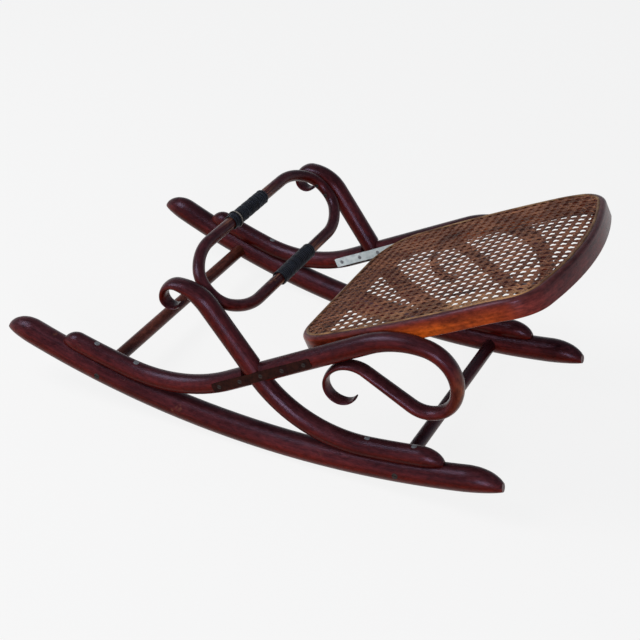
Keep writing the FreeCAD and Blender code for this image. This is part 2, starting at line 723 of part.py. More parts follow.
def round_centre(index):
    """Centre of a corner's round, which touches the edges before and after it from within."""
    before = plan_arcs[index - 1]
    after = plan_arcs[index]
    before_reach = before.Radius - plan_rounds[index]
    after_reach = after.Radius - plan_rounds[index]
    between = after.Center - before.Center
    along = (between.Length ** 2 + before_reach ** 2 - after_reach ** 2) / (2 * between.Length)
    aside = math.sqrt(before_reach ** 2 - along ** 2)
    way = (after.Center - before.Center).normalize()
    foot = before.Center + way * along
    found = [foot + UP.cross(way) * aside, foot - UP.cross(way) * aside]
    return min(found, key=lambda point: (point - plan_corners[index]).Length)


round_centres = [round_centre(index) for index in range(4)]


def from_centre(centre, towards, distance):
    return centre + (towards - centre).normalize() * distance


def plan_wire(inset):
    """The outline, drawn in by some way all round."""
    edges = []
    for index, arc in enumerate(plan_arcs):
        corner = (index + 1) % 4
        following = plan_arcs[corner]
        start = from_centre(arc.Center, round_centres[index], arc.Radius - inset)
        middle = from_centre(arc.Center, plan_bows[index], arc.Radius - inset)
        end = from_centre(arc.Center, round_centres[corner], arc.Radius - inset)
        crown = from_centre(round_centres[corner], plan_corners[corner], plan_rounds[corner] - inset)
        next_start = from_centre(following.Center, round_centres[corner], following.Radius - inset)
        edges.append(Part.Arc(start, middle, end).toShape())
        edges.append(Part.Arc(end, crown, next_start).toShape())
    return Part.Wire(edges)


def plan_prism(*wires):
    """A prism through the seat, of an outline and of openings in it."""
    return Part.makeFace(list(wires), "Part::FaceMakerBullseye").extrude(UP * (2 * seat_depth))


def cane_openings():
    """A plain grid of openings over the clear of the seat, without those that would reach the rim."""
    clear_seat = plan_prism(plan_wire(RIM_WIDTH))
    step_along = (SEAT_REAR + SEAT_FRONT - 2 * RIM_WIDTH) / CANE_OPENINGS
    step_over = 2 * (seat_half - RIM_WIDTH) / CANE_OPENINGS
    shares = [(1 - CANE_OPEN_SHARE) / 2, (1 + CANE_OPEN_SHARE) / 2]
    found = []
    for row in range(CANE_OPENINGS):
        front, rear = [RIM_WIDTH - SEAT_FRONT + step_along * (row + share) for share in shares]
        for column in range(CANE_OPENINGS):
            left, right = [step_over * (column + share - CANE_OPENINGS / 2) for share in shares]
            corners = [
                plan_point(front, left), plan_point(rear, left),
                plan_point(rear, right), plan_point(front, right),
            ]
            raised = [corner + UP * seat_depth for corner in corners]
            if all(clear_seat.isInside(corner, CANE_CLEARANCE, False) for corner in raised):
                found.append(Part.makePolygon(corners + corners[:1]))
    return found


def top_layer(upper, lower):
    """The space between two heights above or below the seat's rolled top, right across it."""
    def side_line(height):
        front_radius = FRONT_ROLL_RADIUS + height
        rear_radius = REAR_ROLL_RADIUS + height
        front_turn = math.asin((FRONT_ROLL_START + SEAT_FRONT + RIM_WIDTH) / FRONT_ROLL_RADIUS)
        rear_turn = math.asin((SEAT_REAR + RIM_WIDTH - REAR_ROLL_START) / REAR_ROLL_RADIUS)

        def front(turn):
            fall = FRONT_ROLL_RADIUS - front_radius * math.cos(turn)
            return vec(FRONT_ROLL_START - front_radius * math.sin(turn), -fall)

        def rear(turn):
            fall = REAR_ROLL_RADIUS - rear_radius * math.cos(turn)
            return vec(REAR_ROLL_START + rear_radius * math.sin(turn), -fall)

        return [
            Part.Arc(front(front_turn), front(front_turn / 2), front(0)).toShape(),
            Part.LineSegment(front(0), rear(0)).toShape(),
            Part.Arc(rear(0), rear(rear_turn / 2), rear(rear_turn)).toShape(),
        ], front(front_turn), rear(rear_turn)

    top_edges, top_front, top_rear = side_line(upper)
    low_edges, low_front, low_rear = side_line(lower)
    ends = [
        Part.LineSegment(top_rear, low_rear).toShape(),
        Part.LineSegment(low_front, top_front).toShape(),
    ]
    wire = Part.Wire(Part.__sortEdges__(top_edges + low_edges + ends))
    layer = Part.Face(wire).extrude(ACROSS * (2 * SIDE_SPACING))
    layer.translate(ACROSS * -SIDE_SPACING)
    return layer


def edge_loop(block, upper):
    """Edges round the top or the bottom of a seat block, without those that cross its face."""
    def faces_way(face):
        u_low, u_high, v_low, v_high = face.ParameterRange
        return face.normalAt((u_low + u_high) / 2, (v_low + v_high) / 2).z * (1 if upper else -1)

    edges = [edge for face in block.Faces if faces_way(face) > ALONG_AXIS for edge in face.Edges]
    return [edge for edge in edges if sum(edge.isSame(other) for other in edges) == 1]


rim_block = plan_prism(plan_wire(0)).common(top_layer(0, -RIM_HEIGHT))
rim_block = rim_block.makeFillet(RIM_TOP_ROUND, edge_loop(rim_block, True))
rim_block = rim_block.makeFillet(RIM_FOOT_ROUND, edge_loop(rim_block, False))
panel_inset = RIM_WIDTH - CANE_LEDGE
rebate = plan_prism(plan_wire(panel_inset)).common(top_layer(RIM_HEIGHT, -CANE_THICKNESS))
rim = rim_block.cut([plan_prism(plan_wire(RIM_WIDTH)), rebate])
panel = plan_prism(plan_wire(panel_inset + CANE_CLEARANCE), *cane_openings())
panel = panel.common(top_layer(0, -CANE_THICKNESS))
binder_inset = panel_inset - BINDER_WIDTH / 2
binder = plan_prism(plan_wire(binder_inset), plan_wire(binder_inset + BINDER_WIDTH))
binder = binder.common(top_layer(BINDER_THICKNESS, 0))
for shape in (rim_block, rim, panel, binder):
    shape.Placement = seat_place

seat_screws = []
for side in (LEFT, RIGHT):
    for distance in SEAT_SCREW_SET:
        spot = seat_origin + seat_along * distance - seat_normal * SEAT_SCREW_DEPTH
        line = Part.makeLine(spot, spot + ACROSS * (side * SIDE_SPACING))
        inner_wall = min(abs(vertex.Point.y) for vertex in rim.common(line).Vertexes)
        head_at = spot + ACROSS * (side * inner_wall)
        seat_screws.append(Screw(SEAT_SCREW, head_at, ACROSS * side))


# Pieces
seat_scroll_rod = seat_rise.solid.cut([seat_notch, plate_housing]).fuse(seat_loop)
handle_scroll_rod = handle_rise.solid.cut([handle_notch, plate_housing]).fuse(handle_curl)
pieces = {}
all_foot_screws = []
all_curl_screws = []
all_loop_screws = []
for side, name in ((LEFT, "left"), (RIGHT, "right")):
    foot = [screw.placed(side) for screw in foot_screws]
    curl = curl_screw.placed(side)
    plate = [screw.placed(side) for screw in plate_screws]
    all_foot_screws += foot
    all_curl_screws.append(curl)
    all_loop_screws += loop_screws[side]
    rocker = placed(rocker_rod.cut([seat_rise.bed, handle_rise.bed]), side)
    rocker = rocker.cut(bores(foot) + bores(stretcher_screws) + tenons)
    pieces[name + "_rocker"] = whole(rocker.fuse([placed(tip, side) for tip in rocker_noses]))
    seat_bores = bores(foot) + bores(plate) + bores(seat_screws) + [curl.bore]
    seat_scroll = placed(seat_scroll_rod, side).cut([rim_block])
    pieces[name + "_seat_scroll"] = whole(seat_scroll.cut(seat_bores))
    handle_bores = bores(foot) + bores(plate) + bores(loop_screws[side])
    handle_scroll = placed(handle_scroll_rod.cut([loop_flats[side]]), side)
    pieces[name + "_handle_scroll"] = whole(handle_scroll.cut(handle_bores))
    pieces[name + "_loop_half"] = whole(loop_halves[side].cut(bores(loop_screws[side])))
    corner = LEFT_PLATE_CORNER if side == LEFT else RIGHT_PLATE_CORNER
    pieces[name + "_lap_plate"] = whole(placed(make_plate(corner), side).cut(bores(plate)))
    pieces[name + "_plate_screws"] = bodies(plate)
for name, dowel in stretchers.items():
    pieces[name] = whole(dowel.cut(bores(stretcher_screws)))
pieces["front_whipping"] = whole(whipping(loop_top))
pieces["rear_whipping"] = whole(whipping(loop_low))
pieces["seat_rim"] = whole(rim.cut(bores(seat_screws)))
pieces["cane_panel"] = whole(panel)
pieces["cane_binder"] = whole(binder)
pieces["foot_screws"] = bodies(all_foot_screws)
pieces["stretcher_screws"] = bodies(stretcher_screws)
pieces["loop_screws"] = bodies(all_loop_screws)
pieces["seat_screws"] = bodies(seat_screws)
pieces["curl_screws"] = bodies(all_curl_screws)


def density(name):
    if name == "left_lap_plate":
        return IRON_DENSITY
    if name.endswith(("screws", "plate")):
        return STEEL_DENSITY
    if name.endswith("whipping"):
        return CORD_DENSITY
    if name == "cane_panel":
        return CANE_DENSITY
    return WOOD_DENSITY


# Point of balance: the stool rolls until its weight is over the rockers' lowest points.
weight = 0.0
moment = FreeCAD.Vector()
for name, shape in pieces.items():
    for solid in shape.Solids:
        share = solid.Volume * density(name)
        weight += share
        moment += solid.CenterOfMass * share
balance = moment * (1 / weight)
rest_tilt = math.degrees(math.atan2(balance.x, CENTRE_HEIGHT - balance.z))
print("rest tilt", round(rest_tilt, 3), "mass", round(weight / 1e9, 3))
roll = FreeCAD.Placement(
    FreeCAD.Vector(), FreeCAD.Rotation(ACROSS, rest_tilt), FreeCAD.Vector(0, 0, CENTRE_HEIGHT)
)

os.makedirs("parts", exist_ok=True)
for name, shape in pieces.items():
    rolled = shape.copy()
    rolled.Placement = roll.multiply(shape.Placement)
    rolled.exportStep("parts/" + name + ".step")
    print(name, len(rolled.Solids), rolled.isValid(), round(rolled.Volume))
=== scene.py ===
import json
import math

import bpy
import numpy as np
from mathutils import Matrix, Vector, noise

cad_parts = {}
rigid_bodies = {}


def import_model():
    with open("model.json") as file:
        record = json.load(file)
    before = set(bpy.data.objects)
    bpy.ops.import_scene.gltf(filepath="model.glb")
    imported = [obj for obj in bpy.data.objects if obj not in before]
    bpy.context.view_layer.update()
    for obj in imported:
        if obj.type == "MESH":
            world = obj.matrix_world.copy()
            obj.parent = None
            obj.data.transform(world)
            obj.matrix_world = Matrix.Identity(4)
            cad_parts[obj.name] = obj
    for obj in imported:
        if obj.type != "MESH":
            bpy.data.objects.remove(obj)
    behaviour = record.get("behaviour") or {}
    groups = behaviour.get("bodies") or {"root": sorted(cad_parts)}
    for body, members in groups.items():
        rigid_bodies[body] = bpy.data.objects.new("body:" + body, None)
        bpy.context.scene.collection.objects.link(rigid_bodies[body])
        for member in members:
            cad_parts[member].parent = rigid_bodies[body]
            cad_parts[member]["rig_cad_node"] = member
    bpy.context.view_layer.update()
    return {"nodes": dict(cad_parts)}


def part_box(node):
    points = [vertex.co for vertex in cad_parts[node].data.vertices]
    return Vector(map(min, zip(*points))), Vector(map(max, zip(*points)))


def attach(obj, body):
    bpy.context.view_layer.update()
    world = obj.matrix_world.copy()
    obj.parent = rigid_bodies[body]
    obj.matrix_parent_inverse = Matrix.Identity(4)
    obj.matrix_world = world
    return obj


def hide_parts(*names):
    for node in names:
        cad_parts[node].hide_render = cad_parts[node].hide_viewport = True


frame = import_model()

# Bentwood rocking footstool, in metres: +X from the handle end to the raised end of the seat,
# +Y from the left side frame to the right one, +Z up from the floor.

# Where things stand. The stool was drawn upright and rolled to its point of balance.
REST_TILT = math.radians(1.770)
ROCKER_CENTRE = Vector((0, 0, 1.299))
SIDE_OFFSET = 0.201
TOE = math.radians(3.45)
SEAT_ORIGIN = Vector((0.06085, 0, 0.18386))
SEAT_SLOPE = math.radians(31.5)
LOOP_MIDDLE = Vector((-0.08588, 0, 0.21691))
LOOP_SLOPE = math.radians(37.648)
LOOP_HALF = 0.054                          # from the loop's middle to the centre line of a long side
LEFT = -1
RIGHT = 1

standing = (
    Matrix.Translation(ROCKER_CENTRE)
    @ Matrix.Rotation(REST_TILT, 4, "Y")
    @ Matrix.Translation(-ROCKER_CENTRE)
)
seat_frame = standing @ Matrix.Translation(SEAT_ORIGIN) @ Matrix.Rotation(-SEAT_SLOPE, 4, "Y")
loop_frame = standing @ Matrix.Translation(LOOP_MIDDLE) @ Matrix.Rotation(LOOP_SLOPE, 4, "Y")


def side_frame(side):
    turn = Matrix.Rotation(-side * TOE, 4, "Z")
    return standing @ Matrix.Translation((0, side * SIDE_OFFSET, 0)) @ turn


def placed(matrix, points):
    return np.array([matrix @ Vector(point) for point in points])


# Node helpers
NOISE_RANGE = (0.25, 0.75)                 # where nearly all values of a noise lie


def add(tree, kind, **values):
    """A shader node with some of its inputs or settings set by name."""
    made = tree.nodes.new("ShaderNode" + kind)
    for name, value in values.items():
        socket = made.inputs.get(name.replace("_", " "))
        if socket is not None:
            socket.default_value = value
        else:
            setattr(made, name, value)
    return made


def join(tree, *pairs):
    for source, target in pairs:
        tree.links.new(source, target)


def ramp(tree, stops, source):
    made = tree.nodes.new("ShaderNodeValToRGB")
    elements = made.color_ramp.elements
    while len(elements) < len(stops):
        elements.new(0.5)
    for element, (place, colour) in zip(elements, stops):
        element.position = place
        element.color = tuple(colour) + (1,)
    join(tree, (source, made.inputs[0]))
    return made.outputs["Color"]


def blend(tree, share, first, second):
    """Colours mixed by a share, each a socket or a plain colour."""
    made = add(tree, "Mix", data_type="RGBA")
    for value, target in ((share, made.inputs[0]), (first, made.inputs[6]), (second, made.inputs[7])):
        if isinstance(value, tuple):
            target.default_value = value + (1,)
        else:
            join(tree, (value, target))
    return made.outputs[2]


def scaled(tree, source, low, high, start=0.0, end=1.0):
    """A value stretched from one range to another."""
    made = add(tree, "MapRange", From_Min=start, From_Max=end, To_Min=low, To_Max=high)
    join(tree, (source, made.inputs["Value"]))
    return made.outputs["Result"]


def fade(tree, source, start, end):
    """A mask that goes smoothly from 0 to 1 between two values."""
    made = add(tree, "MapRange", interpolation_type="SMOOTHSTEP", From_Min=start, From_Max=end)
    join(tree, (source, made.inputs["Value"]))
    return made.outputs["Result"]


def product(tree, first, second):
    made = add(tree, "Math", operation="MULTIPLY")
    join(tree, (first, made.inputs[0]), (second, made.inputs[1]))
    return made.outputs[0]


def size_of(tree, value):
    """A value without its sign."""
    made = add(tree, "Math", operation="ABSOLUTE")
    join(tree, (value, made.inputs[0]))
    return made.outputs[0]


def shaded(tree, colour, value, low, high):
    """A colour made darker and lighter by a noise value."""
    made = add(tree, "Mix", data_type="RGBA", blend_type="MULTIPLY")
    made.inputs[0].default_value = 1.0
    join(tree, (colour, made.inputs[6]), (scaled(tree, value, low, high, *NOISE_RANGE), made.inputs[7]))
    return made.outputs[2]


def part_of(tree, vector, axis):
    """One part of a vector: 0 for X, 1 for Y, 2 for Z."""
    made = add(tree, "SeparateXYZ")
    join(tree, (vector, made.inputs[0]))
    return made.outputs[axis]


def noise_at(tree, vector, scale, detail=3.0, stretch=(1, 1, 1), roughness=0.55):
    """A noise value of its own scale, stretched along some axes of its coordinates."""
    mapping = add(tree, "Mapping", Scale=stretch)
    texture = add(tree, "TexNoise", Scale=scale, Detail=detail, Roughness=roughness)
    join(tree, (vector, mapping.inputs["Vector"]), (mapping.outputs[0], texture.inputs["Vector"]))
    return texture.outputs[0]


def new_group(name, inputs, outputs):
    tree = bpy.data.node_groups.new(name, "ShaderNodeTree")
    for label, kind in inputs:
        tree.interface.new_socket(label, in_out="INPUT", socket_type="NodeSocket" + kind)
    for label, kind in outputs:
        tree.interface.new_socket(label, in_out="OUTPUT", socket_type="NodeSocket" + kind)
    return tree, tree.nodes.new("NodeGroupInput"), tree.nodes.new("NodeGroupOutput")


# Shared effects
SCUFF_EDGE = 0.06                          # how softly a scuff ends


def make_grain_group():
    """Figure of bent wood: coordinates run along the rod, as if it had been straightened."""
    tree, given, put = new_group(
        "wood_grain", [("Vector", "Vector")],
        [("Streaks", "Float"), ("Patches", "Float"), ("Mottle", "Float"), ("Pores", "Float")],
    )
    vector = given.outputs["Vector"]
    fine = noise_at(tree, vector, 1.0, 5.0, (9, 330, 330))
    broad = noise_at(tree, vector, 1.0, 3.0, (3, 80, 80))
    streaks = add(tree, "Math", operation="MULTIPLY_ADD")
    streaks.inputs[1].default_value = 0.55
    half = add(tree, "Math", operation="MULTIPLY")
    half.inputs[1].default_value = 0.45
    join(tree, (broad, half.inputs[0]), (fine, streaks.inputs[0]), (half.outputs[0], streaks.inputs[2]))
    patches = noise_at(tree, vector, 1.0, 4.0, (11, 26, 26))
    mottle = noise_at(tree, vector, 1.0, 5.0, (95, 210, 210), 0.7)
    pores = noise_at(tree, vector, 1.0, 2.0, (60, 1500, 1500))
    join(
        tree, (streaks.outputs[0], put.inputs["Streaks"]), (patches, put.inputs["Patches"]),
        (mottle, put.inputs["Mottle"]), (pores, put.inputs["Pores"]),
    )
    return tree


def make_scuff_group():
    """Small knocks and rubbed places: a mask that is 1 where the finish is gone."""
    tree, given, put = new_group(
        "scuffs", [("Vector", "Vector"), ("Scale", "Float"), ("Share", "Float")], [("Mask", "Float")]
    )
    texture = add(tree, "TexNoise", Detail=6.0, Roughness=0.7)
    edge = add(tree, "MapRange")
    low = add(tree, "Math", operation="SUBTRACT")
    low.inputs[0].default_value = 1.0
    high = add(tree, "Math", operation="ADD")
    high.inputs[1].default_value = SCUFF_EDGE
    join(
        tree, (given.outputs["Vector"], texture.inputs["Vector"]),
        (given.outputs["Scale"], texture.inputs["Scale"]), (given.outputs["Share"], low.inputs[1]),
        (low.outputs[0], high.inputs[0]), (texture.outputs[0], edge.inputs["Value"]),
        (low.outputs[0], edge.inputs["From Min"]), (high.outputs[0], edge.inputs["From Max"]),
        (edge.outputs["Result"], put.inputs["Mask"]),
    )
    return tree


grain_group = make_grain_group()
scuff_group = make_scuff_group()


def use_group(tree, group, **values):
    made = tree.nodes.new("ShaderNodeGroup")
    made.node_tree = group
    for name, value in values.items():
        if isinstance(value, bpy.types.NodeSocket):
            join(tree, (value, made.inputs[name]))
        else:
            made.inputs[name].default_value = value
    return made


def new_material(name):
    material = bpy.data.materials.new(name)
    material.use_nodes = True
    tree = material.node_tree
    return material, tree, tree.nodes["Principled BSDF"]


def object_coords(tree):
    return add(tree, "TexCoord").outputs["Object"]


def bump(tree, shader, height, strength, distance):
    made = add(tree, "Bump", Strength=strength, Distance=distance)
    join(tree, (height, made.inputs["Height"]), (made.outputs[0], shader.inputs["Normal"]))


# Finishes. A pair says where a change starts and where it is complete, for places in metres.
PAINTED_LIGHT_HEIGHTS = (0.25, 0.45, 0.62, 0.90)    # how far the wood faces up, from 0 below to 1 above, for the painted light and shade
RIM_FADE_FRONT = (0.07, 0.18)              # x where the rim's faded part comes in
RIM_FADE_REAR = (0.34, 0.22)               # x where it goes out
RIM_FADE_HEIGHT = (0.012, -0.006)          # from the middle of the rim's height
RIM_FADE_FACING = (0.35, 0.85)             # how far the rim faces sideways there, from 0 to 1
TURN_RUBBED = (0.248, 0.276)               # x of the rubbed rear turn of the seat scroll's loop
GRIP_SCRATCHED = (0.092, 0.052)            # across the stool, from the handle loop's middle
CANE_BLEACHED = (-0.115, -0.165)           # y of the bleached edge of the cane
CORD_WIDTH = 0.0041                        # from turn to turn
CORD_CREST = 0.0022                        # where a turn darkens with painted shade, from 0 at its crest to CORD_WIDTH


def polished_wood(name, painted_light_tones, wear_and_sheen, scuff_share, fading=None, faded=None):
    """Old polish with painted shade on top and painted warm light below, rubbed places, small knocks and a
    faded part.
    """
    material, tree, shader = new_material(name)
    along = add(tree, "Attribute", attribute_name="grain").outputs["Vector"]
    surface = add(tree, "TexCoord").outputs
    grain = use_group(tree, grain_group, Vector=along)
    knocks = use_group(tree, scuff_group, Vector=along, Scale=110.0, Share=scuff_share)
    rubbed = use_group(tree, scuff_group, Vector=along, Scale=19.0, Share=scuff_share * 1.1)
    upward = scaled(tree, part_of(tree, surface["Normal"], 2), 0.0, 1.0, -1.0, 1.0)
    # Painted light and shade: redder below and darker purple on top, by how the surface faces up.
    colour = ramp(tree, list(zip(PAINTED_LIGHT_HEIGHTS, painted_light_tones)), upward)
    if fading:
        colour = blend(tree, fading(tree, along, surface, grain), colour, faded)
    colour = shaded(tree, colour, grain.outputs["Streaks"], 0.45, 1.55)
    colour = shaded(tree, colour, grain.outputs["Patches"], 0.45, 1.55)
    colour = shaded(tree, colour, grain.outputs["Mottle"], 0.35, 1.65)
    colour = blend(tree, scaled(tree, rubbed.outputs["Mask"], 0.0, 0.35), colour, wear_and_sheen)
    colour = blend(tree, knocks.outputs["Mask"], colour, wear_and_sheen)
    rough = scaled(tree, grain.outputs["Patches"], 0.20, 0.36, *NOISE_RANGE)
    join(tree, (colour, shader.inputs["Base Color"]), (rough, shader.inputs["Roughness"]))
    sheen = ramp(tree, [(0.48, (0.42, 0.13, 0.09)), (0.70, (0.78, 0.66, 1.0))], upward)
    join(tree, (sheen, shader.inputs["Specular Tint"]))
    shader.inputs["IOR"].default_value = 1.25
    height = add(tree, "Math", operation="SUBTRACT")
    join(tree, (grain.outputs["Pores"], height.inputs[0]), (knocks.outputs["Mask"], height.inputs[1]))
    bump(tree, shader, height.outputs[0], 0.35, 0.0005)
    return material


def rim_fading(tree, along, surface, grain):
    """The lower part of the rim's two long sides, about their middle."""
    outward = size_of(tree, part_of(tree, surface["Normal"], 1))
    place = part_of(tree, surface["Object"], 0)
    between = product(tree, fade(tree, place, *RIM_FADE_FRONT), fade(tree, place, *RIM_FADE_REAR))
    below = fade(tree, part_of(tree, along, 2), *RIM_FADE_HEIGHT)
    patchy = fade(tree, grain.outputs["Patches"], 0.25, 0.60)
    outer = product(tree, patchy, fade(tree, outward, *RIM_FADE_FACING))
    return product(tree, product(tree, between, below), outer)


def turn_fading(tree, along, surface, grain):
    """The rear turn of the seat scroll's loop, where it is rubbed."""
    place = part_of(tree, surface["Object"], 0)
    patchy = fade(tree, grain.outputs["Patches"], 0.30, 0.65)
    return product(tree, fade(tree, place, *TURN_RUBBED), patchy)


def grip_fading(tree, along, surface, grain):
    """The handle loop beside its whippings, where the polish is scratched off."""
    place = size_of(tree, part_of(tree, surface["Object"], 1))
    scratches = fade(tree, grain.outputs["Streaks"], 0.47, 0.60)
    return product(tree, fade(tree, place, *GRIP_SCRATCHED), scratches)


def cane_finish(name, dark, middle, pale, fibre):
    """Split cane: each strand in a shade of its own, with fine fibres and a bleached edge."""
    material, tree, shader = new_material(name)
    along = add(tree, "Attribute", attribute_name="grain").outputs["Vector"]
    place = object_coords(tree)
    age = noise_at(tree, place, 22.0, 3.0)
    strand = noise_at(tree, along, 1.0, 2.0, (14, 130, 130))
    threads = noise_at(tree, along, 1.0, 3.0, (40, fibre, fibre))
    base = ramp(tree, [(0.34, dark), (0.5, middle), (0.68, pale)], strand)
    stained = ramp(tree, [(0.4, dark), (0.55, middle), (0.7, pale)], age)
    colour = add(tree, "Mix", data_type="RGBA")
    colour.inputs[0].default_value = 0.35
    join(tree, (base, colour.inputs[6]), (stained, colour.inputs[7]))
    edge = fade(tree, part_of(tree, place, 1), *CANE_BLEACHED)
    bleach = product(tree, edge, fade(tree, age, 0.35, 0.75))
    bleached = blend(tree, bleach, colour.outputs[2], (0.42, 0.22, 0.10))
    lined = blend(tree, scaled(tree, threads, -0.35, 0.6), bleached, dark)
    join(tree, (lined, shader.inputs["Base Color"]))
    join(tree, (scaled(tree, threads, 0.34, 0.62), shader.inputs["Roughness"]))
    shader.inputs["IOR"].default_value = 1.25
    bump(tree, shader, threads, 0.4, 0.0003)
    return material


def cord_finish(name, dark, sheen):
    """Waxed cord: twisted plies, with a painted sheen in patches and painted shade near black between the
    turns.
    """
    material, tree, shader = new_material(name)
    along = add(tree, "Attribute", attribute_name="grain").outputs["Vector"]
    plies = add(tree, "TexWave", wave_type="BANDS", bands_direction="DIAGONAL", Scale=1.0)
    plies.inputs["Distortion"].default_value = 1.5
    mapping = add(tree, "Mapping", Scale=(700, 260, 260))
    join(tree, (along, mapping.inputs["Vector"]), (mapping.outputs[0], plies.inputs["Vector"]))
    sheen_noise = noise_at(tree, along, 1.0, 3.0, (60, 160, 160))
    # Painted shade: each turn goes near black towards the turns beside it.
    groove_shade = fade(tree, size_of(tree, part_of(tree, along, 1)), CORD_CREST, CORD_WIDTH)
    # Painted sheen: patches of the cord go from its dark colour to a lighter, bluer one.
    wear_and_sheen = ramp(tree, [(0.42, dark), (0.72, sheen)], sheen_noise)
    colour = blend(tree, groove_shade, wear_and_sheen, (0.0008, 0.0008, 0.0012))
    join(tree, (colour, shader.inputs["Base Color"]))
    join(tree, (scaled(tree, sheen_noise, 0.25, 0.5), shader.inputs["Roughness"]))
    shader.inputs["IOR"].default_value = 1.22
    bump(tree, shader, plies.outputs["Fac"], 0.5, 0.0003)
    return material


def rusted_finish(name):
    """Dark crusted iron with patches of rust."""
    material, tree, shader = new_material(name)
    place = object_coords(tree)
    crust = noise_at(tree, place, 160.0, 6.0, roughness=0.7)
    bloom = noise_at(tree, place, 38.0, 4.0)
    dark = ramp(tree, [(0.35, (0.006, 0.002, 0.002)), (0.62, (0.021, 0.006, 0.005))], crust)
    orange = ramp(tree, [(0.3, (0.020, 0.007, 0.004)), (0.7, (0.048, 0.014, 0.006))], crust)
    share = scaled(tree, bloom, -0.55, 0.9)
    join(tree, (blend(tree, share, dark, orange), shader.inputs["Base Color"]))
    join(tree, (scaled(tree, crust, 0.5, 0.9), shader.inputs["Roughness"]))
    shader.inputs["IOR"].default_value = 1.12
    bump(tree, shader, crust, 0.5, 0.0008)
    return material


def zinc_finish(name):
    """Pale zinc with its crystals, gone dull in clouds."""
    material, tree, shader = new_material(name)
    place = object_coords(tree)
    cells = add(tree, "TexVoronoi", Scale=170.0)
    join(tree, (place, cells.inputs["Vector"]))
    bloom = noise_at(tree, place, 70.0, 5.0)
    bright = ramp(tree, [(0.2, (0.42, 0.49, 0.51)), (0.8, (0.62, 0.68, 0.69))], cells.outputs["Distance"])
    colour = blend(tree, scaled(tree, bloom, -0.3, 0.8), bright, (0.72, 0.75, 0.75))
    join(tree, (colour, shader.inputs["Base Color"]))
    join(tree, (scaled(tree, bloom, 0.35, 0.7), shader.inputs["Roughness"]))
    shader.inputs["Metallic"].default_value = 0.55
    bump(tree, shader, bloom, 0.15, 0.0004)
    return material


def screw_finish(name, clean, tarnish, share, metal):
    """Screw steel under a thin film, with spots of tarnish."""
    material, tree, shader = new_material(name)
    place = object_coords(tree)
    spots = use_group(tree, scuff_group, Vector=place, Scale=420.0, Share=share)
    film = noise_at(tree, place, 240.0, 4.0)
    base = ramp(tree, [(0.3, tuple(c * 0.6 for c in clean)), (0.7, clean)], film)
    join(tree, (blend(tree, spots.outputs["Mask"], base, tarnish), shader.inputs["Base Color"]))
    join(tree, (scaled(tree, film, 0.28, 0.6), shader.inputs["Roughness"]))
    shader.inputs["Metallic"].default_value = metal
    shader.inputs["IOR"].default_value = 1.3
    return material


# Tones from facing down to facing up: the wood's own colour with painted warm light below and painted shade
# on top.
rod_painted_light_tones = [
    (0.050, 0.0028, 0.0014), (0.052, 0.0032, 0.0016), (0.052, 0.0064, 0.0056), (0.033, 0.0080, 0.0098),
]
brown_painted_light_tones = [
    (0.066, 0.0080, 0.0035), (0.066, 0.0090, 0.0040), (0.062, 0.0120, 0.0060), (0.060, 0.0160, 0.0100),
]
rim_painted_light_tones = [
    (0.120, 0.0140, 0.0030), (0.125, 0.0160, 0.0055), (0.105, 0.0165, 0.0120), (0.062, 0.0170, 0.0170),
]
rod_worn = (0.20, 0.080, 0.040)
bentwood = polished_wood("bentwood_polish", rod_painted_light_tones, rod_worn, 0.30)
brown_wood = polished_wood("bentwood_brown", brown_painted_light_tones, rod_worn, 0.30)
turned_wood = polished_wood(
    "bentwood_rubbed_turn", rod_painted_light_tones, rod_worn, 0.30, turn_fading, (0.150, 0.045, 0.018),
)
grip_wood = polished_wood(
    "bentwood_scratched_grip", rod_painted_light_tones, rod_worn, 0.32, grip_fading, (0.20, 0.090, 0.050),
)
rim_wood = polished_wood(
    "rim_polish", rim_painted_light_tones, (0.26, 0.10, 0.045), 0.31, rim_fading, (0.27, 0.046, 0.005),
)
cane = cane_finish("aged_cane", (0.030, 0.009, 0.005), (0.165, 0.056, 0.029), (0.42, 0.18, 0.090), 900)
binder_cane = cane_finish(
    "binder_cane", (0.055, 0.022, 0.010), (0.15, 0.072, 0.032), (0.30, 0.18, 0.085), 700,
)
# Each cord: its dark colour, then the lighter colour of its painted sheen.
black_cord = cord_finish("waxed_cord", (0.005, 0.006, 0.010), (0.022, 0.027, 0.042))
pale_cord = cord_finish("faded_cord", (0.075, 0.066, 0.056), (0.20, 0.18, 0.155))
rust = rusted_finish("rusted_strip")
zinc = zinc_finish("galvanised_strip")
bright_screw = screw_finish("worn_steel", (0.27, 0.28, 0.30), (0.09, 0.05, 0.03), 0.42, 0.6)
dark_screw = screw_finish("dark_steel", (0.020, 0.013, 0.012), (0.03, 0.012, 0.008), 0.45, 0.1)


def dress(piece, material):
    piece.data.materials.clear()
    piece.data.materials.append(material)


# Modelling helpers
MERGE_DISTANCE = 0.000002
WOOD_SMOOTH = math.radians(32)
BINDER_SMOOTH = math.radians(40)


def only(obj):
    """Select one object and nothing else."""
    bpy.ops.object.select_all(action="DESELECT")
    obj.select_set(True)
    bpy.context.view_layer.objects.active = obj


def points_of(obj):
    flat = np.zeros(len(obj.data.vertices) * 3)
    obj.data.vertices.foreach_get("co", flat)
    return flat.reshape(-1, 3)


def set_points(obj, points):
    obj.data.vertices.foreach_set("co", np.asarray(points).ravel())
    obj.data.update()


def finish_piece(piece, slot, material, *nodes):
    dress(piece, material)
    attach(piece, "root")
    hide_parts(*nodes)


def set_grain(piece, values):
    layer = piece.data.attributes.new("grain", "FLOAT_VECTOR", "POINT")
    layer.data.foreach_set("vector", np.asarray(values, dtype=np.float32).ravel())


